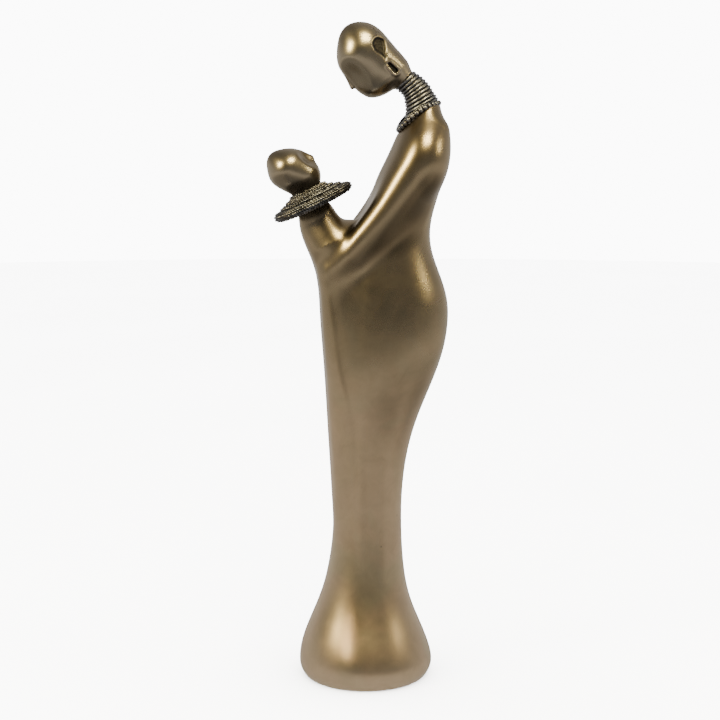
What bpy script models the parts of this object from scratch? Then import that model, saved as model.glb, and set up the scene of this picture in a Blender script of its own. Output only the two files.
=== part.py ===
"""Mother and child sculpture: one solid casting on a round, flared foot.

Frame: +Z up, origin at the centre of the flat underside. The mother faces -Y,
her left side is toward +X, and the figure is symmetric about the plane x = 0.
Sizes below are in millimetres and are turned into metres by MM.
"""
import math

import bmesh
import bpy
import numpy as np
from mathutils import Vector

MM = 0.001

# ---- driving dimensions, millimetres -------------------------------------
HEIGHT = 360.0            # underside to the crown of the mother's head
FOOT_EQUATOR = 7.5        # height of the widest line of the flared foot
SEGMENTS = 48             # points around each lofted section
VOXEL = 1.1               # cell size that melts the robe, arms and child together
BLEND_PASSES = 14         # smoothing passes over the melted form
FORM_TRIANGLES = 5600     # what the smooth form is reduced to

# Mother's robe: height, front y, back y, half width x
ROBE = [
    (-5.0, -31.0, 31.0, 30.5), (0.0, -33.0, 33.4, 32.5), (3.0, -35.6, 36.2, 35.4),
    (FOOT_EQUATOR, -36.9, 37.5, 37.0), (15.0, -36.2, 36.0, 35.6), (22.0, -34.3, 33.5, 33.0),
    (36.0, -28.7, 27.9, 27.0), (49.0, -23.8, 23.8, 22.8), (63.0, -20.4, 21.6, 20.2),
    (80.0, -18.2, 20.5, 18.6), (104.0, -17.9, 20.8, 18.2), (125.0, -18.5, 23.4, 18.8),
    (145.0, -19.6, 28.7, 20.4), (165.0, -20.6, 36.8, 22.8), (182.0, -21.4, 42.7, 24.6),
    (197.0, -21.8, 45.4, 25.4), (208.0, -21.6, 45.4, 25.0), (220.0, -20.5, 42.7, 23.4),
    (234.0, -16.5, 37.4, 20.6), (247.0, -9.5, 35.6, 19.4), (258.0, -1.6, 37.0, 20.0),
    (270.0, 3.6, 40.7, 22.0), (282.0, 8.3, 44.4, 24.2), (292.0, 13.6, 45.6, 24.8),
    (300.0, 16.8, 45.2, 22.6), (307.0, 21.0, 43.9, 17.8), (313.0, 27.0, 41.9, 11.8),
    (317.0, 33.0, 40.2, 6.0),
]
# Front panel of the robe, and the child's wrapped body above it
WRAP = [
    (96.0, -17.0, -2.0, 7.0), (125.0, -18.3, -2.0, 10.0), (150.0, -20.4, 0.0, 12.4),
    (180.0, -22.7, 0.0, 14.2), (205.0, -24.8, 0.0, 15.2), (222.0, -26.0, 0.0, 15.4),
    (233.0, -29.4, -1.0, 15.0), (241.0, -32.8, -3.0, 14.2), (249.0, -35.5, -8.0, 12.8),
    (257.0, -36.4, -14.8, 10.8), (264.0, -36.4, -20.2, 8.8), (270.0, -36.6, -23.0, 7.2),
]
# One arm under the robe: x, y, z of its centre line, and its radius
ARM = [
    (12.0, 35.0, 300.0, 9.4), (15.4, 33.5, 293.5, 10.4), (16.6, 29.0, 284.8, 9.8),
    (17.0, 21.5, 275.2, 8.9), (16.8, 13.6, 264.8, 8.4), (16.4, 5.7, 254.4, 8.0),
    (15.0, -2.3, 244.8, 7.6), (12.6, -9.8, 236.0, 7.2), (10.0, -15.0, 229.5, 6.4),
    (8.0, -18.0, 224.0, 4.6),
]
# Heads and necks run along lines in the plane x = 0.
# centre y, z; half thickness in that plane; half width in x
MOTHER_HEAD = [
    (-6.5, 359.0, 2.0, 2.0), (-5.2, 356.4, 7.6, 7.2), (-3.4, 352.4, 10.8, 10.4),
    (-1.2, 347.4, 13.2, 12.6), (1.2, 342.0, 14.9, 13.2), (3.4, 336.4, 15.3, 12.6),
    (4.4, 330.6, 13.4, 11.0), (4.0, 325.8, 10.0, 8.6), (3.4, 322.0, 6.4, 6.2),
    (3.2, 319.6, 2.0, 2.4),
]
# The neck bends in an S between two points, leaving each in its own direction
MOTHER_NECK = ((19.2, 331.2), (0.70, -0.71), (30.4, 313.4), (0.47, -0.88))
RING_COUNT = 10
RING_TOP_RADIUS, RING_BASE_RADIUS = 7.2, 10.4
NECKLACE_CENTRE, NECKLACE_TILT = (28.9, 309.9), 34.0
NECKLACE_HALF = (12.6, 13.0)              # in x, and along its own slope
NECKLACE_LIFT = 2.6                       # how far its sides ride up the shoulders
NECKLACE_BAR = 1.5
CHILD_HEAD_CENTRE = (-39.2, 280.2)
CHILD_HEAD_HALF = (14.4, 12.0, 11.8)     # along its brow-to-nape line, across it, in x
COLLAR_CENTRE = (-28.3, 264.3)
COLLAR_TILT = 25.0                        # degrees, mother's side up
# collar profile: radius, height along the collar's own axis
COLLAR = [
    (7.0, -3.0), (13.0, -2.6), (20.6, -2.1), (22.4, -1.2), (22.7, 0.3), (21.8, 1.7),
    (18.2, 2.1), (17.6, 3.5), (15.4, 3.8), (14.6, 4.8), (12.0, 5.0), (11.0, 6.4),
    (8.0, 6.8),
]


# ---- helpers --------------------------------------------------------------
def smooth_rows(rows, steps):
    """Run a smooth curve through the rows, all columns together."""
    rows = np.array(rows, float)
    out = []
    for i in range(len(rows) - 1):
        p0 = rows[max(i - 1, 0)]
        p1, p2 = rows[i], rows[i + 1]
        p3 = rows[min(i + 2, len(rows) - 1)]
        for k in range(steps):
            t = k / steps
            out.append(0.5 * (2 * p1 + (p2 - p0) * t + (2 * p0 - 5 * p1 + 4 * p2 - p3) * t ** 2
                              + (3 * p1 - p0 - 3 * p2 + p3) * t ** 3))
    out.append(rows[-1])
    return np.array(out)


def link(bm, name):
    bmesh.ops.recalc_face_normals(bm, faces=bm.faces)
    mesh = bpy.data.meshes.new(name)
    bm.to_mesh(mesh)
    bm.free()
    obj = bpy.data.objects.new(name, mesh)
    bpy.context.scene.collection.objects.link(obj)
    return obj


def loft(name, rings):
    """Closed skin over a list of rings of points, capped flat at both ends."""
    bm = bmesh.new()
    loops = []
    for ring in rings:
        verts = [bm.verts.new(Vector(p) * MM) for p in ring]
        loops.append([bm.edges.new((verts[i], verts[(i + 1) % len(verts)]))
                      for i in range(len(verts))])
    for low, high in zip(loops, loops[1:]):
        bmesh.ops.bridge_loops(bm, edges=low + high)
    bmesh.ops.edgeloop_fill(bm, edges=loops[0])
    bmesh.ops.edgeloop_fill(bm, edges=loops[-1])
    return link(bm, name)


def level_loft(name, stations, steps=3, segments=SEGMENTS):
    """Elliptical sections lying level, one for each height."""
    rings = []
    for z, front, back, half in smooth_rows(stations, steps):
        mid, deep = (front + back) / 2, (back - front) / 2
        rings.append([(half * math.cos(a), mid + deep * math.sin(a), z)
                      for a in (2 * math.pi * i / segments for i in range(segments))])
    return loft(name, rings)


def path_loft(name, points, across, side, segments=24):
    """Elliptical sections square to a path of points."""
    points = np.array(points, float)
    rings = []
    for i, p in enumerate(points):
        way = points[min(i + 1, len(points) - 1)] - points[max(i - 1, 0)]
        way /= np.linalg.norm(way)
        u = np.array([1.0, 0, 0]) - way * way[0]
        u /= np.linalg.norm(u)
        v = np.cross(way, u)
        rings.append([tuple(p + u * side[i] * math.cos(a) + v * across[i] * math.sin(a))
                      for a in (2 * math.pi * k / segments for k in range(segments))])
    return loft(name, rings)


def ellipsoid(name, centre, half, tilt, segments=32):
    """Ellipsoid whose long half size leans by tilt degrees in the plane x = 0."""
    bm = bmesh.new()
    bmesh.ops.create_uvsphere(bm, u_segments=segments, v_segments=segments // 2, radius=1.0)
    c, s = math.cos(math.radians(tilt)), math.sin(math.radians(tilt))
    for v in bm.verts:
        x, y, z = v.co.x * half[2], v.co.y * half[0], v.co.z * half[1]
        v.co = Vector((x, centre[0] + y * c - z * s, centre[1] + y * s + z * c)) * MM
    return link(bm, name)


def turned(name, profile, centre, tilt, segments):
    """Profile of (radius, height) turned about an axis leaning in the plane x = 0."""
    c, s = math.cos(math.radians(tilt)), math.sin(math.radians(tilt))
    rings = []
    for radius, height in profile:
        ring = []
        for k in range(segments):
            a = 2 * math.pi * k / segments
            x, across = radius * math.cos(a), radius * math.sin(a)
            ring.append((x, centre[0] + across * c - height * s,
                         centre[1] + across * s + height * c))
        rings.append(ring)
    return loft(name, rings)


def bar_ring(name, centres, radius, sides=6):
    """Round bar following a closed line of points."""
    centres = np.array(centres, float)
    count = len(centres)
    bm = bmesh.new()
    rings = []
    for i in range(count):
        way = centres[(i + 1) % count] - centres[i - 1]
        way /= np.linalg.norm(way)
        u = np.cross(way, centres.mean(axis=0) - centres[i])
        u /= np.linalg.norm(u)
        v = np.cross(way, u)
        rings.append([bm.verts.new(Vector(centres[i] + radius * (
            u * math.cos(a) + v * math.sin(a))) * MM)
            for a in (2 * math.pi * k / sides for k in range(sides))])
    for i in range(count):
        here, there = rings[i], rings[(i + 1) % count]
        for k in range(sides):
            bm.faces.new((here[k], here[(k + 1) % sides], there[(k + 1) % sides], there[k]))
    return link(bm, name)


def neck_point(t):
    """Point on the neck's centre line, t from 0 under the jaw to 1 at the shoulders."""
    (y0, z0), (v0, w0), (y1, z1), (v1, w1) = MOTHER_NECK
    reach = math.hypot(y1 - y0, z1 - z0)
    if t < 0:
        return np.array([y0 + v0 * t * reach, z0 + w0 * t * reach])
    if t > 1:
        return np.array([y1 + v1 * (t - 1) * reach, z1 + w1 * (t - 1) * reach])
    h = (2 * t ** 3 - 3 * t ** 2 + 1, t ** 3 - 2 * t ** 2 + t,
         3 * t ** 2 - 2 * t ** 3, t ** 3 - t ** 2)
    return np.array([h[0] * y0 + h[1] * v0 * reach + h[2] * y1 + h[3] * v1 * reach,
                     h[0] * z0 + h[1] * w0 * reach + h[2] * z1 + h[3] * w1 * reach])


def settle(obj):
    """Turn the object's modifiers into its mesh."""
    graph = bpy.context.evaluated_depsgraph_get()
    mesh = bpy.data.meshes.new_from_object(obj.evaluated_get(graph))
    old = obj.data
    obj.modifiers.clear()
    obj.data = mesh
    bpy.data.meshes.remove(old)


def gather(objects, name):
    """Join the meshes of several objects into one new object."""
    bm = bmesh.new()
    for obj in objects:
        bm.from_mesh(obj.data)
        bpy.data.objects.remove(obj)
    return link(bm, name)


def unite(obj, other):
    cut = obj.modifiers.new("union", "BOOLEAN")
    cut.operation = "UNION"
    cut.solver = "EXACT"
    cut.object = other
    settle(obj)
    bpy.data.objects.remove(other)


# ---- the figure -----------------------------------------------------------
for old in list(bpy.data.objects):
    bpy.data.objects.remove(old)

forms = [level_loft("robe", ROBE), level_loft("wrap", WRAP)]
arm = smooth_rows(ARM, 3)
for sign in (1, -1):
    forms.append(path_loft("arm", arm[:, :3] * (sign, 1, 1), arm[:, 3], arm[:, 3]))

# mother's head: sections along the line from crown to chin, then nose and neck core
head = smooth_rows(MOTHER_HEAD, 3)
forms.append(path_loft("head", [(0, y, z) for y, z, _, _ in head], head[:, 2], head[:, 3], 32))
nose = smooth_rows([(-9.6, 338.0, 1.4, 1.6), (-9.4, 332.0, 2.4, 2.2), (-7.6, 326.6, 2.8, 2.6),
                    (-6.0, 324.4, 1.8, 2.0)], 3)
forms.append(path_loft("nose", [(0, y, z) for y, z, _, _ in nose], nose[:, 2], nose[:, 3], 16))
core = [neck_point(t) for t in (-0.2, 0.0, 0.25, 0.5, 0.75, 1.0, 1.2)]
core_radii = [5.6, 6.0, 6.6, 7.2, 8.0, 9.0, 9.4]
forms.append(path_loft("neck", [(0, p[0], p[1]) for p in core], core_radii, core_radii))

# child's head and neck
forms.append(ellipsoid("child_head", CHILD_HEAD_CENTRE, CHILD_HEAD_HALF, -14.0))
forms.append(ellipsoid("child_face", (-32.4, 280.6), (8.6, 7.8, 9.0), -40.0))
forms.append(path_loft("child_neck", [(0, -29.0, 258.0), (0, -31.5, 268.0), (0, -34.0, 276.0)],
                       [7.6, 7.0, 6.6], [7.6, 7.0, 6.6]))

figure = gather(forms, "mother_and_child")
melt = figure.modifiers.new("melt", "REMESH")
melt.mode = "VOXEL"
melt.voxel_size = VOXEL * MM
soften = figure.modifiers.new("soften", "SMOOTH")
soften.factor = 0.5
soften.iterations = BLEND_PASSES
settle(figure)
reduce = figure.modifiers.new("reduce", "DECIMATE")
reduce.ratio = FORM_TRIANGLES / sum(len(p.vertices) - 2 for p in figure.data.polygons)
settle(figure)

# the foot is cut off flat
bm = bmesh.new()
bm.from_mesh(figure.data)
cut = bmesh.ops.bisect_plane(bm, geom=bm.verts[:] + bm.edges[:] + bm.faces[:],
                             plane_co=(0, 0, 0), plane_no=(0, 0, 1), clear_inner=True)
rim = [e for e in cut["geom_cut"] if isinstance(e, bmesh.types.BMEdge)]
bmesh.ops.edgeloop_fill(bm, edges=rim)
bmesh.ops.triangulate(bm, faces=bm.faces)
bm.to_mesh(figure.data)
bm.free()

# neck rings: one ribbed sleeve, each rib a rounded band
rows = []
for i in range(RING_COUNT):
    for swell, along in [(-0.8, 0.0), (0.0, 0.28), (0.0, 0.72)]:
        rows.append(((i + along) / RING_COUNT, swell))
rows += [(1.0, -0.4), (1.16, -2.6)]       # the sleeve ends inside the shoulders
points, radii = [], []
for t, swell in rows:
    p = neck_point(t)
    points.append((0, p[0], p[1]))
    radii.append(RING_TOP_RADIUS + (RING_BASE_RADIUS - RING_TOP_RADIUS) * t ** 1.4 + swell)
unite(figure, path_loft("rings", points, radii, radii, 24))

# beaded necklace lying on the shoulders: low on the chest, high on the nape
necklace = []
tilt = math.radians(NECKLACE_TILT)
for k in range(28):
    a = 2 * math.pi * k / 28
    across = NECKLACE_HALF[1] * math.sin(a)
    lift = NECKLACE_LIFT * math.cos(a) ** 2
    necklace.append((NECKLACE_HALF[0] * math.cos(a),
                     NECKLACE_CENTRE[0] + across * math.cos(tilt) - lift * math.sin(tilt),
                     NECKLACE_CENTRE[1] + across * math.sin(tilt) + lift * math.cos(tilt)))
unite(figure, bar_ring("necklace", necklace, NECKLACE_BAR))

unite(figure, turned("collar", COLLAR, COLLAR_CENTRE, COLLAR_TILT, 32))

# ears: an oval rim with a stretched lobe loop below it, on both sides
for sign in (1, -1):
    rim_line, loop_line = [], []
    for k in range(14):
        a = 2 * math.pi * k / 14
        rim_line.append((sign * 11.5, 6.6 + 3.4 * math.cos(a) - 0.8 * math.sin(a),
                         346.2 + 4.0 * math.sin(a) - 0.6 * math.cos(a)))
        loop_line.append((sign * (9.6 - 1.1 * math.cos(a)),
                          13.6 + 4.3 * math.cos(a) * 0.75 + 2.1 * math.sin(a) * 0.62,
                          335.4 - 4.9 * math.cos(a) * 0.78 + 2.1 * math.sin(a) * 0.7))
    unite(figure, bar_ring("ear_rim", rim_line, 0.95))
    unite(figure, bar_ring("ear_loop", loop_line, 0.95))

figure.data.name = figure.name

# ---- finish ---------------------------------------------------------------
bronze = bpy.data.materials.new("satin_bronze")
bronze.use_nodes = True
shader = bronze.node_tree.nodes["Principled BSDF"]
shader.inputs["Base Color"].default_value = (0.40, 0.28, 0.15, 1.0)
shader.inputs["Metallic"].default_value = 1.0
shader.inputs["Roughness"].default_value = 0.32
figure.data.materials.clear()
figure.data.materials.append(bronze)
figure.data.shade_smooth()
figure.data.set_sharp_from_angle(angle=math.radians(40))
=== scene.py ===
import math

import bpy
import numpy as np
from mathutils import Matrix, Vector


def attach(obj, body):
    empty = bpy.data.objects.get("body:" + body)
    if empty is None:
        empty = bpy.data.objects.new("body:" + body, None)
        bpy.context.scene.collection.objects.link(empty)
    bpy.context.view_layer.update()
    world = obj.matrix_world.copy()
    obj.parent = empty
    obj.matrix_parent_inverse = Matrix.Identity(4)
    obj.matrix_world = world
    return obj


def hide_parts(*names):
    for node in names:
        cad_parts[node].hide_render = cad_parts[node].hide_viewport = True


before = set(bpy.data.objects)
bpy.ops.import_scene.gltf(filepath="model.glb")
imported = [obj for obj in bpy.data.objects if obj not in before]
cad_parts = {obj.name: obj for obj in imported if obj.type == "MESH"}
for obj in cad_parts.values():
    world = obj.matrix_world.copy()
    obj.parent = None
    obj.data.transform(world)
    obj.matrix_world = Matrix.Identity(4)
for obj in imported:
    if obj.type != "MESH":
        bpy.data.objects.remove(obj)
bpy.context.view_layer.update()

MM = 0.001

# ---------------------------------------------------------------------------
# The figure is one smooth form, so it is described as a distance field in
# millimetres: lofts along straight lines of travel, melted into each other.
# The mother faces -Y and +X is her left side.
# ---------------------------------------------------------------------------


class Curve:
    """Natural cubic spline through (position, value) pairs, read from a fine table."""

    def __init__(self, xs, ys):
        xs, ys = np.array(xs, float), np.array(ys, float)
        n = len(xs)
        h = np.diff(xs)
        a = np.zeros((n, n))
        b = np.zeros(n)
        a[0, 0] = a[-1, -1] = 1.0
        for i in range(1, n - 1):
            a[i, i - 1], a[i, i], a[i, i + 1] = h[i - 1], 2 * (h[i - 1] + h[i]), h[i]
            b[i] = 6 * ((ys[i + 1] - ys[i]) / h[i] - (ys[i] - ys[i - 1]) / h[i - 1])
        m = np.linalg.solve(a, b)
        self.x = np.linspace(xs[0], xs[-1], 3000)
        k = np.clip(np.searchsorted(xs, self.x) - 1, 0, n - 2)
        l, r = xs[k + 1] - self.x, self.x - xs[k]
        self.y = (m[k] * l ** 3 + m[k + 1] * r ** 3) / (6 * h[k]) \
            + (ys[k] / h[k] - m[k] * h[k] / 6) * l + (ys[k + 1] / h[k] - m[k + 1] * h[k] / 6) * r

    def __call__(self, s):
        return np.interp(s, self.x, self.y)


def smin(a, b, k):
    """Union with a fillet about k wide."""
    h = np.clip(0.5 + 0.5 * (b - a) / k, 0, 1)
    return b + (a - b) * h - k * h * (1 - h)


def smax(a, b, k):
    return -smin(-a, -b, k)


def step(x, lo, hi):
    t = np.clip((x - lo) / (hi - lo), 0, 1)
    return t * t * (3 - 2 * t)


class Loft:
    """Oval sections square to a line in the plane x = 0.

    rows: (distance along, centre across, half across, half in x, centre in x).
    A domed end is (where the dome starts, how long it is).
    """

    def __init__(self, origin, way, rows, first=None, last=None, egg=0.0, power=2.0):
        self.o = origin
        w = np.array(way, float)
        self.w = w / np.linalg.norm(w)
        rows = np.array([tuple(r) + (0.0,) * (5 - len(r)) for r in rows], float)
        self.c = [Curve(rows[:, 0], rows[:, i]) for i in range(1, 5)]
        self.lo, self.hi = rows[0, 0], rows[-1, 0]
        self.first, self.last, self.egg, self.power = first, last, egg, power

    def local(self, p):
        y, z = p[..., 1] - self.o[0], p[..., 2] - self.o[1]
        # across: the line's direction turned a quarter, toward -Y for a line going down
        return y * self.w[0] + z * self.w[1], y * self.w[1] - z * self.w[0]

    def __call__(self, p):
        s, n = self.local(p)
        t = np.clip(s, self.lo, self.hi)
        mid, hn, hx, cx = (c(t) for c in self.c)
        qn = (n - mid) / hn
        x = np.abs(p[..., 0]) - cx if np.abs(self.c[3].y).max() > 0 else p[..., 0]
        hx = hx * (1 - self.egg * np.clip(qn, -1.2, 1.2))
        qx = x / hx
        e = self.power
        qs, ls = 0.0, 1.0
        if self.first:
            ls = self.first[1]
            qs = np.maximum(0, (self.first[0] - s) / ls)
        if self.last:
            q2 = np.maximum(0, (s - self.last[0]) / self.last[1])
            ls = np.where(q2 > 0, self.last[1], ls)
            qs = np.maximum(qs, q2)
        k0 = (np.abs(qx) ** e + np.abs(qn) ** e + qs ** e) ** (1 / e) + 1e-6
        k1 = np.sqrt((np.abs(qx) ** (e - 1) / hx) ** 2 + (np.abs(qn) ** (e - 1) / hn) ** 2
                     + (qs ** (e - 1) / ls) ** 2) / k0 ** (e - 1) + 1e-6
        d = (k0 - 1) / k1
        if not self.first:
            d = smax(d, self.lo - s, 2.0)
        if not self.last:
            d = smax(d, s - self.hi, 2.0)
        return d


def ball(p, centre, half):
    q = [(p[..., i] - centre[i]) / half[i] for i in range(3)]
    k0 = np.sqrt(q[0] ** 2 + q[1] ** 2 + q[2] ** 2) + 1e-6
    k1 = np.sqrt(sum((q[i] / half[i]) ** 2 for i in range(3))) / k0 + 1e-6
    return (k0 - 1) / k1


def rod(p, a, b, ra, rb):
    """Straight bar between two points whose radius changes along it."""
    a, b = np.array(a, float), np.array(b, float)
    d = b - a
    t = np.clip(((p - a) @ d) / (d @ d), 0, 1)
    return np.linalg.norm(p - a - t[..., None] * d, axis=-1) - (ra + (rb - ra) * t)


# ---- robe, arms and the wrapped child --------------------------------------
# height, front y, back y, half width x, turned into centre and half depth
ROBE = [
    (-8.0, -30.0, 30.4, 30.0), (-2.0, -32.6, 33.0, 32.4), (3.0, -35.9, 36.4, 35.8),
    (8.5, -36.9, 37.5, 36.9), (15.5, -36.1, 36.0, 35.6), (25.0, -33.3, 32.5, 32.0),
    (36.0, -28.8, 27.9, 27.2), (49.0, -23.9, 23.8, 23.0), (63.0, -20.5, 21.6, 20.4),
    (82.0, -18.1, 20.4, 18.6), (104.0, -17.8, 20.7, 18.2), (125.0, -18.2, 23.3, 18.8),
    (145.0, -19.0, 28.7, 20.8), (165.0, -19.8, 36.7, 23.8), (182.0, -20.4, 42.7, 24.9),
    (198.0, -20.8, 45.5, 24.6), (212.0, -20.2, 44.9, 23.4), (225.0, -17.8, 40.9, 21.6),
    (238.0, -12.8, 36.5, 20.0), (250.0, -7.0, 35.6, 19.2), (262.0, 1.0, 38.0, 20.2),
    (275.0, 5.6, 41.9, 22.6), (287.0, 11.2, 44.5, 23.0), (297.0, 15.8, 44.7, 20.4),
    (306.0, 20.2, 42.7, 16.4), (313.0, 24.6, 41.0, 13.0), (321.0, 29.0, 39.8, 9.6),
]
WRAP = [
    (70.0, -8.0, 2.0, 5.0), (92.0, -14.6, 2.0, 8.8), (112.0, -17.4, 2.0, 11.6), (135.0, -19.4, 2.0, 13.4),
    (160.0, -21.0, 2.0, 15.2), (185.0, -23.1, 2.0, 16.2), (205.0, -24.8, 2.0, 16.4),
    (220.0, -26.0, 2.0, 16.0), (232.0, -29.0, 0.0, 14.8), (241.0, -32.7, -3.5, 13.0),
    (249.0, -35.3, -8.6, 10.8), (257.0, -36.2, -14.9, 8.9), (265.0, -36.6, -20.4, 7.6),
]


def upright(rows):
    """Rows of height, front, back and half width, for a loft that runs straight up."""
    return [(z, (f + b) / 2, (b - f) / 2, a) for z, f, b, a in rows]


robe = Loft((0, 0), (0, 1), upright(ROBE))
wrap = Loft((0, 0), (0, 1), upright(WRAP), power=2.6)

# each arm runs under the robe from the shoulder to the hand:
# along, across, half across, half in x, centre in x
ARM_FROM, ARM_WAY = (37.0, 295.5), (-0.603, -0.798)
ARM = [
    (-8.0, 3.0, 7.6, 7.6, 12.0), (0.0, 2.2, 8.8, 8.8, 14.2), (10.0, 1.0, 9.4, 9.2, 15.8),
    (24.0, 0.3, 9.0, 8.9, 16.9), (38.0, 0.2, 8.5, 8.4, 17.2), (52.0, 0.3, 8.1, 8.0, 16.6),
    (64.0, 0.8, 7.8, 7.6, 15.2), (75.0, 1.6, 7.4, 7.2, 13.4), (84.0, 2.4, 7.0, 6.8, 11.8),
    (92.0, 3.0, 6.6, 6.4, 10.4),
]
arm = Loft(ARM_FROM, ARM_WAY, ARM, first=(9.0, 19.0), last=(75.0, 17.0))


# where the front panel of the cloth turns into the side, as y against height
FOLD = Curve((60.0, 102.0, 141.0, 158.0, 172.0, 185.0, 202.0, 212.0, 231.0, 245.0),
             (-5.4, -6.2, -8.3, -11.0, -14.3, -16.4, -18.5, -20.1, -21.6, -22.0))


def folds(p):
    """Small soft pleats down the front and sides of the robe, in millimetres outward."""
    y, z = p[..., 1], p[..., 2]
    side = step(np.abs(p[..., 0]), 5.0, 10.0)
    t = y - FOLD(np.clip(z, 60, 245))
    out = 0.46 * step(-t, -1.5, 1.8) * step(z, 92, 135) * (1 - step(z, 222, 238))
    out = out - 0.13 * np.exp(-((t - 2.6) / 2.2) ** 2) * step(z, 110, 150) * (1 - step(z, 220, 236))
    out = out + 0.34 * np.exp(-((y - 8.0 - 0.03 * (z - 180)) / 3.6) ** 2) * step(z, 148, 176) * (1 - step(z, 205, 232))
    out = out + 0.66 * np.exp(-((y + 3.5) / 3.0) ** 2) * step(z, 55, 84) * (1 - step(z, 128, 158))
    out = out + 0.56 * np.exp(-((y - 8.5 - 0.02 * (z - 80)) / 3.4) ** 2) * step(z, 40, 70) * (1 - step(z, 112, 140))
    return out * side


def body(p):
    # behind the arm the far sleeve hangs a little fuller than the near one
    f = smin(robe(p), arm(p), 10.0 + 6.0 * step(-p[..., 0], 3.0, 12.0)
             * step(p[..., 1], 12.0, 24.0) * (1 - step(p[..., 1], 28.0, 38.0)))
    q = p.copy()
    q[..., 0] = np.abs(q[..., 0])
    f = smin(f, ball(q, (11.5, 30.6, 286.0), (12.9, 10.8, 16.0)), 7.0)
    # the cloth ends just under the necklace, higher over the shoulders
    lid = (p[..., 1] - 28.9) * -0.559 + (p[..., 2] - 309.9) * 0.829
    lid = lid - 2.7 * (p[..., 0] / 12.5) ** 2 + 0.2
    f = smax(f, lid, 2.4)
    f = smin(f, wrap(p), 6.0)
    # the child's shoulder slopes down to the mother, and the lap between them is round
    f = smin(f, rod(q, (5.6, -23.9, 256.2), (6.4, -17.6, 243.4), 5.4, 9.2), 6.5)
    f = smin(f, ball(p, (0, -8.5, 243.3), (12.0, 13.5, 11.4)), 4.0)
    return np.maximum(f - folds(p), -p[..., 2])


# ---- mother's head ----------------------------------------------------------
HEAD_FROM, HEAD_WAY = (-2.6, 359.7), (0.66, -0.7513)


skull = Loft(HEAD_FROM, HEAD_WAY, [
    (-4.0, 8.0, 12.0, 9.2), (0.0, 8.1, 13.0, 10.6), (5.3, 8.9, 14.2, 12.1),
    (9.9, 9.6, 14.9, 12.9), (13.5, 9.8, 15.2, 13.2), (18.0, 9.8, 15.2, 13.1),
    (22.8, 9.9, 15.3, 12.5), (27.0, 9.8, 15.3, 11.8), (31.0, 9.2, 14.7, 10.9),
    (35.0, 8.6, 14.3, 10.0), (39.5, 8.0, 14.2, 9.2)],
    first=(12.0, 15.4), last=(31.0, 7.4))


def head_local(p):
    """Along the crown-to-nape line, and across it toward the face."""
    return skull.local(p)


def stadium(s, n, a, b, ra, rb):
    """Distance in the side view to a rounded bar whose radius changes along it."""
    a, b = np.array(a, float), np.array(b, float)
    d = b - a
    t = np.clip(((s - a[0]) * d[0] + (n - a[1]) * d[1]) / (d @ d), 0, 1)
    return np.hypot(s - a[0] - t * d[0], n - a[1] - t * d[1]) - (ra + (rb - ra) * t)


def ear_marks(p):
    s, n = head_local(p)
    bowl = smin(stadium(s, n, (15.0, 1.4), (16.6, 2.2), 3.5, 3.2),
                stadium(s, n, (17.0, 2.2), (22.4, 3.4), 2.2, 0.5), 1.6)
    lobe = stadium(s, n, (26.6, 4.2), (31.4, 3.7), 1.0, 1.3)
    side = step(np.abs(p[..., 0]), 4.0, 7.0)
    return bowl, lobe, side


def mother_head(p):
    s, n = head_local(p)
    x = np.abs(p[..., 0])
    f = skull(p)
    # neck stub that runs down inside the rings
    neck = rod(p, (0, 19.8, 330.8), (0, 24.6, 325.6), 5.7, 5.4)
    f = smin(f, neck, 4.0)
    # eye hollows either side of the nose, running down the cheeks
    u = np.stack([x, s, n], -1)
    hollow = ball(u, (14.6, 19.2, 28.8), (10.9, 17.0, 10.9))
    f = smax(f, -hollow, 3.4)
    nose = rod(u, (0.0, 14.0, 23.6), (0.0, 22.9, 26.0), 1.0, 1.25)
    f = smin(f, nose, 1.3)
    bowl, lobe, side = ear_marks(p)
    # ear: a sunk bowl, a ridge before it, and a stretched lobe loop
    f = f + side * 1.6 * step(-bowl, -0.7, 1.4)
    f = f - side * 0.05 * np.exp(-((bowl - 1.2) / 1.1) ** 2) * (0.35 + 0.65 * step(n - 2.4 - 0.02 * s, -0.8, 1.2))
    f = f + side * 1.3 * step(-lobe, -0.25, 0.7)
    f = f - side * 0.4 * np.exp(-((lobe - 1.0) / 0.85) ** 2)
    return f


# ---- child's head -----------------------------------------------------------
CHILD_FROM, CHILD_WAY = (-53.2, 283.8), (0.81, -0.585)
child_skull = Loft(CHILD_FROM, CHILD_WAY, [
    (-2.6, 5.0, 9.0, 9.2), (0.0, 5.1, 9.5, 10.2), (5.0, 5.2, 11.1, 12.0),
    (11.0, 5.6, 11.7, 12.6), (16.3, 6.0, 11.4, 12.0), (20.0, 6.5, 10.5, 10.9),
    (23.5, 7.0, 9.4, 9.5), (29.2, 7.0, 9.2, 8.6)],
    first=(11.0, 13.1), last=(20.0, 8.6))


def child_head(p):
    s, n = child_skull.local(p)
    n = -n
    x = np.abs(p[..., 0])
    f = child_skull(p)
    f = smin(f, rod(p, (0, -33.5, 273.5), (0, -29.5, 264.0), 7.2, 7.0), 4.0)
    u = np.stack([x, s, n], -1)
    hollow = ball(u, (8.0, 15.5, 20.0), (6.5, 8.0, 6.0))
    f = smax(f, -hollow, 2.4)
    nose = rod(u, (0.0, 11.0, 15.9), (0.0, 16.8, 16.9), 0.9, 1.8)
    return smin(f, nose, 2.4)


# across is counted away from the child's face on this line
child_skull.c[0].y = -child_skull.c[0].y


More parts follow.
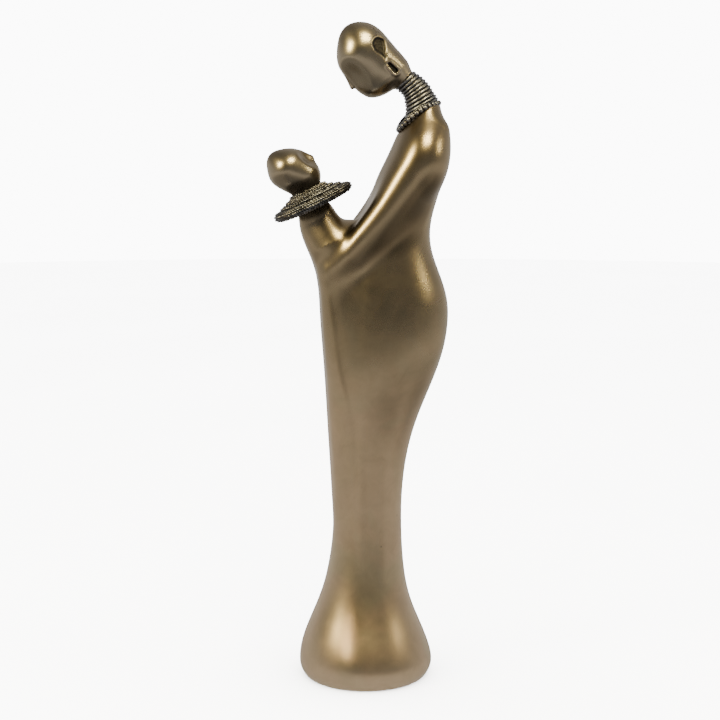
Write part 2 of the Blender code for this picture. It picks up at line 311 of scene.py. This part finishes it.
# ---- turning a field into a skin --------------------------------------------
def skin(field, lo, hi, cell, rounds=4):
    """Dual surface of the field's zero level, then pulled exactly onto it."""
    axes = [np.arange(lo[i], hi[i] + cell, cell) for i in range(3)]
    shape = tuple(len(a) for a in axes)
    F = np.empty(shape, np.float32)
    for i in range(0, shape[0], 16):
        part = np.stack(np.meshgrid(axes[0][i:i + 16], axes[1], axes[2], indexing="ij"), -1)
        F[i:i + 16] = field(part)
    inside = F < 0
    n0, n1, n2 = shape
    total = np.zeros((n0 - 1, n1 - 1, n2 - 1), np.int8)
    for a in (0, 1):
        for b in (0, 1):
            for c in (0, 1):
                total += inside[a:n0 - 1 + a, b:n1 - 1 + b, c:n2 - 1 + c]
    cells = np.argwhere((total > 0) & (total < 8))
    index = -np.ones(total.shape, np.int64)
    index[tuple(cells.T)] = np.arange(len(cells))
    # each vertex is the mean of the crossings on its cell's twelve edges
    spot = np.zeros((len(cells), 3))
    count = np.zeros(len(cells))
    corner = np.array([(a, b, c) for a in (0, 1) for b in (0, 1) for c in (0, 1)])
    for i in range(8):
        for axis in range(3):
            if corner[i][axis]:
                continue
            j = corner[i].copy()
            j[axis] = 1
            fa = F[tuple((cells + corner[i]).T)]
            fb = F[tuple((cells + j).T)]
            hit = (fa < 0) != (fb < 0)
            t = np.where(hit, fa / np.where(hit, fa - fb, 1), 0)
            at = cells + corner[i] + t[:, None] * (j - corner[i])
            spot[hit] += at[hit]
            count[hit] += 1
    verts = spot / count[:, None] * cell + np.array([a[0] for a in axes])
    faces = []
    for axis in range(3):
        b, c = (axis + 1) % 3, (axis + 2) % 3
        first = [slice(None)] * 3
        second = [slice(None)] * 3
        first[axis], second[axis] = slice(0, -1), slice(1, None)
        for d in (b, c):
            first[d] = second[d] = slice(1, -1)
        one, two = inside[tuple(first)], inside[tuple(second)]
        at = np.argwhere(one != two)
        flip = one[tuple(at.T)]
        at[:, b] += 1
        at[:, c] += 1
        quad = []
        for db, dc in ((-1, -1), (0, -1), (0, 0), (-1, 0)):
            g = at.copy()
            g[:, b] += db
            g[:, c] += dc
            quad.append(index[tuple(g.T)])
        quad = np.stack(quad, -1)
        quad[~flip] = quad[~flip][:, ::-1]
        faces.append(quad)
    faces = np.concatenate(faces)
    for _ in range(rounds):
        f, g = slope(field, verts)
        verts = verts - np.clip(f / np.maximum((g ** 2).sum(-1), 0.05), -0.6 * cell, 0.6 * cell)[:, None] * g
    return verts, faces


def slope(field, p, e=0.02):
    g = np.empty_like(p)
    for i in range(3):
        d = np.zeros(3)
        d[i] = e
        g[:, i] = (field(p + d) - field(p - d)) / (2 * e)
    return field(p), g


def piece(name, verts, faces, mats, normals=None, marks=None, body_name="root"):
    mesh = bpy.data.meshes.new(name)
    mesh.from_pydata((np.asarray(verts) * MM).tolist(), [], [[int(i) for i in f] for f in faces])
    mesh.validate()
    mesh.update()
    mesh.shade_smooth()
    if normals is not None:
        mesh.normals_split_custom_set_from_vertices(np.asarray(normals, np.float32))
    for key, values in (marks or {}).items():
        layer = mesh.attributes.new(key, "FLOAT", "POINT")
        layer.data.foreach_set("value", np.asarray(values, np.float32))
    obj = bpy.data.objects.new(name, mesh)
    bpy.context.scene.collection.objects.link(obj)
    for m in mats:
        mesh.materials.append(m)
    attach(obj, body_name)
    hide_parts("mother_and_child")
    return obj


def unit(v):
    return v / np.maximum(np.linalg.norm(v, axis=-1, keepdims=True), 1e-9)


def grown(field, lo, hi, cell, extra=None):
    """Skin, its true normals, and how deep each point lies in a hollow."""
    verts, faces = skin(field, lo, hi, cell)
    _, g = slope(field, verts, 0.05)
    normals = unit(g)
    hollow = np.zeros(len(verts))
    for reach in (1.5, 4.0, 9.0):
        hollow += np.clip(1 - field(verts + normals * reach) / reach, 0, 1) / 3
    return verts, faces, normals, hollow


# ---- materials --------------------------------------------------------------
def nodes_of(name):
    mat = bpy.data.materials.new(name)
    mat.use_nodes = True
    tree = mat.node_tree
    return mat, tree, tree.nodes["Principled BSDF"]


def link(tree, a, b):
    tree.links.new(a, b)


def noise(tree, scale, detail=3.0, rough=0.55, stretch=None):
    coord = tree.nodes.new("ShaderNodeTexCoord")
    mapping = tree.nodes.new("ShaderNodeMapping")
    if stretch:
        mapping.inputs["Scale"].default_value = stretch
    link(tree, coord.outputs["Object"], mapping.inputs["Vector"])
    tex = tree.nodes.new("ShaderNodeTexNoise")
    tex.inputs["Scale"].default_value = scale
    tex.inputs["Detail"].default_value = detail
    tex.inputs["Roughness"].default_value = rough
    mapping.inputs["Rotation"].default_value = (0.61, 0.93, 0.37)
    tex.inputs["Distortion"].default_value = 0.7
    link(tree, mapping.outputs["Vector"], tex.inputs["Vector"])
    return tex.outputs["Fac"]


def ramp(tree, source, stops):
    node = tree.nodes.new("ShaderNodeValToRGB")
    r = node.color_ramp
    r.elements[0].position, r.elements[0].color = stops[0][0], (*stops[0][1], 1)
    r.elements[1].position, r.elements[1].color = stops[1][0], (*stops[1][1], 1)
    for pos, col in stops[2:]:
        r.elements.new(pos).color = (*col, 1)
    link(tree, source, node.inputs["Fac"])
    return node.outputs["Color"]


def remap(tree, source, lo, hi, out_lo, out_hi):
    node = tree.nodes.new("ShaderNodeMapRange")
    node.inputs["From Min"].default_value = lo
    node.inputs["From Max"].default_value = hi
    node.inputs["To Min"].default_value = out_lo
    node.inputs["To Max"].default_value = out_hi
    link(tree, source, node.inputs["Value"])
    return node.outputs["Result"]


def mix(tree, fac, a, b, mode="MIX"):
    node = tree.nodes.new("ShaderNodeMix")
    node.data_type = "RGBA"
    node.blend_type = mode
    ins = [i for i in node.inputs if i.type == "RGBA"]
    if hasattr(fac, "links"):
        link(tree, fac, node.inputs[0])
    else:
        node.inputs[0].default_value = fac
    for sock, val in zip(ins, (a, b)):
        if hasattr(val, "links"):
            link(tree, val, sock)
        else:
            sock.default_value = (*val, 1)
    return [o for o in node.outputs if o.type == "RGBA"][0]


def mark(tree, name):
    node = tree.nodes.new("ShaderNodeAttribute")
    node.attribute_name = name
    return node.outputs["Fac"]


def bump(tree, height, strength, distance, base=None):
    node = tree.nodes.new("ShaderNodeBump")
    node.inputs["Strength"].default_value = strength
    node.inputs["Distance"].default_value = distance
    link(tree, height, node.inputs["Height"])
    if base is not None:
        link(tree, base, node.inputs["Normal"])
    return node.outputs["Normal"]


def make_bronze():
    mat, tree, sh = nodes_of("satin_bronze_finish")
    broad = noise(tree, 26.0, 2.0, 0.5)
    tint = ramp(tree, broad, [(0.32, (0.710, 0.540, 0.338)), (0.68, (0.690, 0.548, 0.345)),
                              (0.50, (0.730, 0.540, 0.346))])
    # the colour turns a darker olive above the knees and thins out below them: partly an olive patina, partly painted
    # shade for the dimmer reflections higher up
    coord = tree.nodes.new("ShaderNodeTexCoord")
    split = tree.nodes.new("ShaderNodeSeparateXYZ")
    link(tree, coord.outputs["Object"], split.inputs[0])
    drift = tree.nodes.new("ShaderNodeMath")
    drift.operation = "MULTIPLY_ADD"
    link(tree, noise(tree, 22.0, 3.0, 0.6), drift.inputs[0])
    drift.inputs[1].default_value = 0.055
    link(tree, split.outputs["Z"], drift.inputs[2])
    upper_shade_and_patina = remap(tree, drift.outputs[0], 0.165, 0.222, 0.0, 1.0)
    upper_shade_and_patina.node.interpolation_type = "SMOOTHSTEP"
    olive_and_shade = ramp(tree, broad, [(0.32, (0.420, 0.330, 0.202)), (0.68, (0.430, 0.344, 0.215)),
                               (0.50, (0.455, 0.348, 0.210))])
    tint = mix(tree, upper_shade_and_patina, tint, olive_and_shade)
    # the two heads are rubbed paler and greyer by handling
    tint = mix(tree, mark(tree, "rubbed"), tint, (0.53, 0.448, 0.318))
    cloud = noise(tree, 110.0, 4.0, 0.6)
    tint = mix(tree, remap(tree, cloud, 0.35, 0.7, 0.0, 0.14), tint, (0.20, 0.15, 0.085))
    flake = noise(tree, 1700.0, 2.0, 0.6)
    tint = mix(tree, remap(tree, flake, 0.40, 0.62, 0.0, 0.10), tint, (0.60, 0.47, 0.28))
    # small dark specks of patina
    coord = tree.nodes.new("ShaderNodeTexCoord")
    cells = tree.nodes.new("ShaderNodeTexVoronoi")
    cells.inputs["Scale"].default_value = 120.0
    link(tree, coord.outputs["Object"], cells.inputs["Vector"])
    dot = remap(tree, cells.outputs["Distance"], 0.05, 0.13, 1.0, 0.0)
    rare = noise(tree, 17.0, 1.0, 0.5)
    only = remap(tree, rare, 0.66, 0.70, 0.0, 0.8)
    both = tree.nodes.new("ShaderNodeMath")
    both.operation = "MULTIPLY"
    link(tree, dot, both.inputs[0])
    link(tree, only, both.inputs[1])
    tint = mix(tree, both.outputs[0], tint, (0.10, 0.07, 0.035))
    # darker in the hollows and creases: partly patina, partly painted shade where shade falls; the band under the arm
    # is painted shade only
    hollow_patina_and_shade = remap(tree, mark(tree, "hollow"), 0.30, 0.85, 0.0, 0.75)
    tint = mix(tree, hollow_patina_and_shade, tint, (0.11, 0.078, 0.045))
    # near black inside the ear's bowl and lobe loop: a dark patina with painted shade in these recesses, on a rougher
    # finish
    ear_dark_and_shade = mark(tree, "pewter")
    grit = noise(tree, 1500.0, 2.0, 0.6)
    grey = ramp(tree, grit, [(0.35, (0.022, 0.019, 0.015)), (0.65, (0.12, 0.108, 0.088))])
    tint = mix(tree, ear_dark_and_shade, tint, grey)
    link(tree, tint, sh.inputs["Base Color"])
    sh.inputs["Metallic"].default_value = 1.0
    rough = remap(tree, noise(tree, 60.0, 3.0, 0.6), 0.3, 0.7, 0.25, 0.31)
    more = tree.nodes.new("ShaderNodeMath")
    more.operation = "MULTIPLY_ADD"
    link(tree, ear_dark_and_shade, more.inputs[0])
    more.inputs[1].default_value = 0.25
    link(tree, rough, more.inputs[2])
    matt = tree.nodes.new("ShaderNodeMath")
    matt.operation = "ADD"
    link(tree, more.outputs[0], matt.inputs[0])
    link(tree, remap(tree, upper_shade_and_patina, 0.0, 1.0, 0.06, 0.0), matt.inputs[1])
    link(tree, matt.outputs[0], sh.inputs["Roughness"])
    fine = bump(tree, flake, 0.04, 0.00008)
    fine = bump(tree, noise(tree, 240.0, 2.0, 0.5), 0.02, 0.0002, fine)
    link(tree, fine, sh.inputs["Normal"])
    return mat


def make_pewter():
    mat, tree, sh = nodes_of("dark_pewter_finish")
    grit = noise(tree, 900.0, 3.0, 0.6)
    tint = ramp(tree, grit, [(0.30, (0.170, 0.168, 0.166)), (0.72, (0.53, 0.530, 0.54))])
    worn = remap(tree, mark(tree, "raised"), 0.45, 1.0, 0.0, 1.0)
    tint = mix(tree, worn, (0.022, 0.019, 0.016), tint)
    warm = noise(tree, 60.0, 2.0, 0.5)
    tint = mix(tree, remap(tree, warm, 0.4, 0.7, 0.0, 0.35), tint, (0.26, 0.20, 0.13))
    link(tree, tint, sh.inputs["Base Color"])
    sh.inputs["Metallic"].default_value = 1.0
    link(tree, remap(tree, grit, 0.3, 0.7, 0.26, 0.44), sh.inputs["Roughness"])
    link(tree, bump(tree, grit, 0.25, 0.0003), sh.inputs["Normal"])
    return mat


bronze = make_bronze()
pewter = make_pewter()

# ---- pieces -----------------------------------------------------------------
v, f, n, h = grown(body, (-42, -44, -2.2), (42, 52, 324), 1.25)
flat = v[:, 2] < 0.02
v[flat, 2] = 0.0
n[flat] = (0, 0, -1)
under = (v[:, 1] - 37.0) * 0.798 - (v[:, 2] - 295.5) * 0.603          # how far below the arm's line
# painted shade: a band on the sides just under the arm is added to the hollow mark, so its colour darkens as in a
# hollow
h = h + 0.62 * step(v[:, 0], 8, 14) * step(under, 0.5, 6) * (1 - step(under, 18, 32)) \
    * step(v[:, 2], 224, 242) * (1 - step(v[:, 2], 272, 290))
piece("robe_and_arms", v, f, [bronze], n, {"hollow": h, "pewter": np.zeros(len(v)), "rubbed": np.zeros(len(v))})

v, f, n, h = grown(mother_head, (-15.5, -20, 312), (15.5, 36, 363), 0.5)
bowl, lobe, side = ear_marks(v)
# the ear's bowl and lobe loop take the near-black colour: dark patina with painted shade in these recesses
ear_recess_dark_and_shade = side * np.maximum(step(-bowl, -0.7, 0.3), step(-lobe, -0.2, 0.4))
piece("mother_head", v, f, [bronze], n, {"hollow": 0.55 * h * (1 - ear_recess_dark_and_shade), "pewter": ear_recess_dark_and_shade, "rubbed": np.full(len(v), 0.85)})

v, f, n, h = grown(child_head, (-14, -57, 254), (14, -20, 296), 0.5)
piece("child_head", v, f, [bronze], n, {"hollow": 0.3 * h, "pewter": np.zeros(len(v)), "rubbed": np.full(len(v), 0.65)})


def sheet_piece(name, grid, closed_u, raised):
    """Closed skin over a grid of points [rows][around]; end rows are capped."""
    rows, around = grid.shape[:2]
    verts = grid.reshape(-1, 3)
    faces = []
    last = rows if closed_u else rows - 1
    for i in range(last):
        a, b = i * around, ((i + 1) % rows) * around
        for k in range(around):
            m = (k + 1) % around
            faces.append((a + k, a + m, b + m, b + k))
    if not closed_u:
        verts = np.vstack([verts, grid[0].mean(0), grid[-1].mean(0)])
        raised = np.concatenate([raised.ravel(), [0, 0]])
        top, end = rows * around, (rows - 1) * around
        for k in range(around):
            m = (k + 1) % around
            faces.append((top, m, k))
            faces.append((top + 1, end + k, end + m))
    obj = piece(name, verts, faces, [pewter], None, {"raised": np.asarray(raised).ravel()})
    import bmesh
    bm = bmesh.new()
    bm.from_mesh(obj.data)
    bmesh.ops.recalc_face_normals(bm, faces=bm.faces)
    bm.to_mesh(obj.data)
    bm.free()
    return obj


# neck rings: ten rounded bands between a front and a back outline, leaning as the neck bends
RINGS = 10
AT = (-0.16, 0.0, 0.25, 0.5, 0.75, 1.0, 1.2)
FRONT_Y, FRONT_Z = Curve(AT, (13.0, 15.7, 19.4, 21.0, 21.7, 21.2, 19.6)), Curve(AT, (326.4, 324.7, 321.6, 318.2, 313.4, 308.8, 305.4))
BACK_Y, BACK_Z = Curve(AT, (22.4, 26.0, 30.6, 34.4, 37.3, 39.6, 41.0)), Curve(AT, (336.6, 334.3, 331.0, 327.1, 322.9, 319.0, 315.6))


rng = np.random.default_rng(11)
around = 112
rows, lift = [], []
samples = [(-0.10, -2.2, 0.0), (-0.02, -1.2, 0.0)]
for i in range(RINGS):
    size = 1.0 + rng.uniform(-0.06, 0.06)
    for k in range(11):
        u = -1 + 2 * (k + 0.5) / 11
        bulge = math.sqrt(max(0.0, 1 - abs(u) ** 2.3))
        samples.append(((i + 0.5 + 0.5 * u) / RINGS, 1.2 * size * bulge - 1.2, bulge))
samples += [(1.02, -1.4, 0.0), (1.12, -2.6, 0.0)]
theta = np.arange(around) * 2 * math.pi / around
for t, swell, high in samples:
    front = np.array([FRONT_Y(t), FRONT_Z(t)])
    back = np.array([BACK_Y(t), BACK_Z(t)])
    c, d = (front + back) / 2, back - front
    r = np.linalg.norm(d) / 2
    d = d / (2 * r)
    r = r + swell + 0.10 * np.sin(theta * 3 + 9 * t) * high
    rows.append(np.stack([r * 0.97 * np.cos(theta), c[0] + d[0] * r * np.sin(theta), c[1] + d[1] * r * np.sin(theta)], -1))
    lift.append(np.full(around, high))
sheet_piece("neck_rings", np.array(rows), False, np.array(lift))

# bead necklace: a string of beads on a cord, riding up over the shoulders
BEADS = 30
NECKLACE_CENTRE, NECKLACE_TILT = (28.9, 309.9), math.radians(34.0)


def necklace_at(a, drop=0.0, wide=0.0):
    across = (12.9 + wide) * math.sin(a)
    up = 2.7 * math.cos(a) ** 2 - drop
    return np.array([(12.5 + wide) * math.cos(a),
                     NECKLACE_CENTRE[0] + across * math.cos(NECKLACE_TILT) - up * math.sin(NECKLACE_TILT),
                     NECKLACE_CENTRE[1] + across * math.sin(NECKLACE_TILT) + up * math.cos(NECKLACE_TILT)])


def string(name, count, path, bead, waist, per=12, sides=14, power=2.0):
    total = count * per
    rows, lift = [], []
    for i in range(total):
        a = 2 * math.pi * i / total
        c = path(a)
        d = path(a + 0.01) - path(a - 0.01)
        d /= np.linalg.norm(d)
        out = c - np.array([0.0, NECKLACE_CENTRE[0], NECKLACE_CENTRE[1]])
        out -= d * (out @ d)
        out /= np.linalg.norm(out)
        up = np.cross(d, out)
        u = 2 * ((i % per) + 0.5) / per - 1
        high = math.sqrt(max(0.0, 1 - abs(u) ** power))
        r = waist + (bead - waist) * high
        phi = np.arange(sides) * 2 * math.pi / sides
        rows.append(c + r * (np.cos(phi)[:, None] * out + np.sin(phi)[:, None] * up))
        lift.append(np.full(sides, high))
    return sheet_piece(name, np.array(rows), True, np.array(lift))


string("bead_necklace", BEADS, necklace_at, 1.55, 0.55)
string("necklace_cord", 60, lambda a: necklace_at(a, -1.3, -0.5), 0.75, 0.5, per=6, sides=8)

# child's collar: stepped disc covered with rows of small knots
COLLAR_CENTRE, COLLAR_TILT = (-28.3, 264.3), math.radians(25.0)
PROFILE = [
    (6.0, -3.6), (9.0, -3.2), (15.0, -2.7), (20.6, -2.1), (22.2, -1.2), (22.7, 0.1), (22.1, 1.5),
    (21.0, 2.1), (18.2, 2.3), (17.5, 3.6), (14.6, 3.9), (13.9, 5.1), (11.4, 5.4), (10.7, 6.8),
    (9.0, 7.3), (6.0, 7.5),
]
outline = np.array(PROFILE)
along = np.concatenate([[0], np.cumsum(np.linalg.norm(np.diff(outline, axis=0), axis=1))])
count = 190
s = np.linspace(0, along[-1], count)
radius, height = np.interp(s, along, outline[:, 0]), np.interp(s, along, outline[:, 1])
kernel = np.array([1, 2, 3, 2, 1]) / 9
pad = lambda a: np.convolve(np.pad(a, 2, mode="edge"), kernel, "valid")
radius, height = pad(radius), pad(height)
dr, dh = np.gradient(radius, s), np.gradient(height, s)
size = np.hypot(dr, dh)
out_r, out_h = dh / size, -dr / size          # outward, for a profile that runs up the outside
ROW, KNOT = 1.5, 1.55
around = 380
theta = np.arange(around) * 2 * math.pi / around
rows, lift = [], []
row_of = np.floor(s / ROW).astype(int)
for i in range(count):
    ring = row_of[i]
    in_row = (s[i] / ROW - ring) * 2 - 1
    mean_r = np.interp((ring + 0.5) * ROW, s, radius)
    knots = max(8, round(2 * math.pi * mean_r / KNOT))
    turn_by = 2 * math.pi * (ring * 0.37)
    phase = (theta + turn_by) * knots / (2 * math.pi) + 0.22 * in_row
    cell = np.floor(phase)
    u = (phase - cell) * 2 - 1
    vary = 0.75 + 0.5 * np.modf(np.abs(np.sin((cell % knots) * 12.9898 + ring * 78.233)) * 43758.5453)[0]
    high = np.sqrt(np.clip(1 - np.abs(u) ** 2.2, 0, 1)) * math.sqrt(max(0.0, 1 - abs(in_row) ** 2.4))
    push = 0.95 * high * vary - 0.5
    r = radius[i] + out_r[i] * push
    q = height[i] + out_h[i] * push
    x, across = r * np.cos(theta), r * np.sin(theta)
    rows.append(np.stack([x, COLLAR_CENTRE[0] + across * math.cos(COLLAR_TILT) - q * math.sin(COLLAR_TILT),
                          COLLAR_CENTRE[1] + across * math.sin(COLLAR_TILT) + q * math.cos(COLLAR_TILT)], -1))
    lift.append(np.clip(high * vary, 0, 1))
sheet_piece("child_collar", np.array(rows), False, np.array(lift))

# ---- floor, light and camera --------------------------------------------------
mesh = bpy.data.meshes.new("floor")
ring = [(3.2 * math.cos(a), 3.2 * math.sin(a), -0.0004) for a in (2 * math.pi * k / 96 for k in range(96))]
mesh.from_pydata(ring, [], [tuple(range(96))])
floor = bpy.data.objects.new("floor", mesh)
bpy.context.scene.collection.objects.link(floor)
mat, tree, sh = nodes_of("pale_floor")
link(tree, ramp(tree, noise(tree, 3.0, 2.0), [(0.3, (0.86, 0.86, 0.86)), (0.7, (0.89, 0.89, 0.89))]),
     sh.inputs["Base Color"])
sh.inputs["Roughness"].default_value = 0.9
sh.inputs["Specular IOR Level"].default_value = 0.1
mesh.materials.append(mat)
# the metal mirrors the studio surround below, not this disc
floor.visible_glossy = False

# glowing pale card under the foot, a light seen only in the metal, where it shows as a pale reflection along the base's
# rim
mesh = bpy.data.meshes.new("card")
mesh.from_pydata([(0.15 * math.cos(a), 0.15 * math.sin(a), -0.0006) for a in (2 * math.pi * k / 64 for k in range(64))],
                 [], [tuple(range(64))])
card = bpy.data.objects.new("card", mesh)
bpy.context.scene.collection.objects.link(card)
mat = bpy.data.materials.new("card_glow")
mat.use_nodes = True
tree = mat.node_tree
tree.nodes.clear()
glow = tree.nodes.new("ShaderNodeEmission")
glow.inputs["Color"].default_value = (0.56, 0.55, 0.53, 1)
out = tree.nodes.new("ShaderNodeOutputMaterial")
link(tree, glow.outputs[0], out.inputs["Surface"])
mesh.materials.append(mat)
card.visible_camera = card.visible_diffuse = card.visible_shadow = card.visible_transmission = False

world = bpy.data.worlds.new("studio")
bpy.context.scene.world = world
world.use_nodes = True
# the surround is met by scattered rays only, so metal never picks up the plain part of it
world.cycles.sampling_method = "NONE"
tree = world.node_tree
tree.nodes.clear()
coord = tree.nodes.new("ShaderNodeTexCoord")
split = tree.nodes.new("ShaderNodeSeparateXYZ")
tree.links.new(coord.outputs["Generated"], split.inputs[0])
shade = ramp(tree, remap(tree, split.outputs["X"], -1.0, 1.0, 0.0, 1.0),
             [(0.0, (0.72, 0.72, 0.72)), (1.0, (0.124, 0.130, 0.140)), (0.35, (0.45, 0.45, 0.45)),
              (0.55, (0.32, 0.32, 0.325)), (0.75, (0.178, 0.182, 0.190)), (0.92, (0.124, 0.129, 0.138))])
below = ramp(tree, remap(tree, split.outputs["Z"], 0.0, -1.0, 0.0, 1.0),
             [(0.095, (0.0, 0.0, 0.0)), (1.0, (0.105, 0.110, 0.120)), (0.18, (0.62, 0.605, 0.58)),
              (0.36, (0.50, 0.485, 0.47)), (0.50, (0.19, 0.185, 0.18)), (0.80, (0.125, 0.130, 0.140))])
dim = ramp(tree, remap(tree, split.outputs["Z"], 1.0, -1.0, 0.0, 1.0),
           [(0.0, (0.6, 0.6, 0.6)), (0.30, (0.72, 0.72, 0.72)), (0.45, (1.0, 1.0, 1.0)),
            (0.64, (1.0, 1.0, 1.0)), (0.76, (0.6, 0.6, 0.6)), (1.0, (0.3, 0.3, 0.3))])
shade = mix(tree, 1.0, mix(tree, 1.0, shade, dim, "MULTIPLY"), below, "LIGHTEN")


def product(tree, a, b):
    node = tree.nodes.new("ShaderNodeMath")
    node.operation = "MULTIPLY"
    link(tree, a, node.inputs[0])
    link(tree, b, node.inputs[1])
    return node.outputs[0]


# a little more comes from low on the right, and less from high on the left
low_right = product(tree, remap(tree, split.outputs["Y"], 0.30, 0.70, 0.0, 1.0),
                    remap(tree, split.outputs["Z"], -0.25, -0.42, 0.0, 1.0))
low_right = product(tree, low_right, remap(tree, split.outputs["Z"], -0.90, -0.62, 0.0, 1.0))
low_right = product(tree, low_right, remap(tree, split.outputs["X"], -0.15, 0.25, 0.0, 1.0))
shade = mix(tree, 1.0, shade, mix(tree, low_right, (0, 0, 0), (0.36, 0.35, 0.335)), "LIGHTEN")
low_left = product(tree, remap(tree, split.outputs["Y"], -0.15, -0.45, 0.0, 1.0),
                   remap(tree, split.outputs["Z"], -0.35, -0.55, 0.0, 1.0))
shade = mix(tree, 1.0, shade, mix(tree, low_left, (0, 0, 0), (0.25, 0.245, 0.24)), "LIGHTEN")
high_left = product(tree, remap(tree, split.outputs["Y"], 0.10, -0.35, 0.0, 1.0),
                    remap(tree, split.outputs["Z"], 0.05, 0.40, 0.0, 1.0))
shade = mix(tree, high_left, shade, mix(tree, 1.0, shade, (0.48, 0.48, 0.48), "MULTIPLY"))
mirrored = tree.nodes.new("ShaderNodeBackground")
tree.links.new(shade, mirrored.inputs["Color"])
mirrored.inputs["Strength"].default_value = 1.0
wide = tree.nodes.new("ShaderNodeBackground")
wide.inputs["Color"].default_value = (1, 1, 1, 1)
wide.inputs["Strength"].default_value = 11.0
path = tree.nodes.new("ShaderNodeLightPath")
choose = tree.nodes.new("ShaderNodeMixShader")
tree.links.new(path.outputs["Is Glossy Ray"], choose.inputs["Fac"])
tree.links.new(wide.outputs[0], choose.inputs[1])
tree.links.new(mirrored.outputs[0], choose.inputs[2])
out = tree.nodes.new("ShaderNodeOutputWorld")
tree.links.new(choose.outputs[0], out.inputs["Surface"])


def lamp(name, way, distance, size, power, colour=(1, 1, 1), aim=0.19, spread=180.0):
    """Soft panel in a direction (right, up, toward the camera) seen from the photograph's side."""
    a = math.radians(85.0)
    right = Vector((math.cos(a), math.sin(a), 0))
    toward = Vector((math.sin(a), -math.cos(a), 0))
    d = (right * way[0] + Vector((0, 0, 1)) * way[1] + toward * way[2]).normalized()
    data = bpy.data.lights.new(name, "AREA")
    data.shape = "RECTANGLE"
    data.size, data.size_y = size
    data.energy = power
    data.color = colour
    data.spread = math.radians(spread)
    data.cycles.use_multiple_importance_sampling = False
    data.cycles.max_bounces = 0          # lights the metal once, not again by way of its own mirror image
    obj = bpy.data.objects.new(name, data)
    obj.location = Vector((0, 0, aim)) + d * distance
    obj.rotation_euler = (-d).to_track_quat("-Z", "Y").to_euler()
    bpy.context.scene.collection.objects.link(obj)
    return obj


WARM = (1.0, 0.87, 0.49)
lamp("top_panel", (0.12, 0.83, 0.55), 1.3, (0.56, 0.56), 17.5, WARM, aim=0.30)
lamp("left_panel", (-0.77, 0.45, 0.45), 1.3, (0.26, 0.40), 11.5, WARM, aim=0.28)
lamp("right_panel", (0.878, 0.407, 0.252), 1.3, (0.40, 0.44), 2.8, WARM, aim=0.24)
lamp("low_panel", (-0.52, 0.36, 0.78), 0.5, (0.07, 0.010), 0.0006, (1.0, 0.80, 0.50), aim=0.016, spread=4.0)

cam_data = bpy.data.cameras.new("camera")
cam_data.sensor_fit = "HORIZONTAL"
cam_data.angle = 2 * math.atan(360.0 / 1444.0)
cam_data.clip_start = 0.01
camera = bpy.data.objects.new("camera", cam_data)
az, el = math.radians(85.0), math.radians(8.2)
target = Vector((0.0, -0.00284713, 0.17767904))
way = Vector((math.sin(az) * math.cos(el), -math.cos(az) * math.cos(el), math.sin(el)))
camera.location = target + way * 0.79467634
camera.rotation_euler = (-way).to_track_quat("-Z", "Y").to_euler()
bpy.context.scene.collection.objects.link(camera)
bpy.context.scene.camera = camera
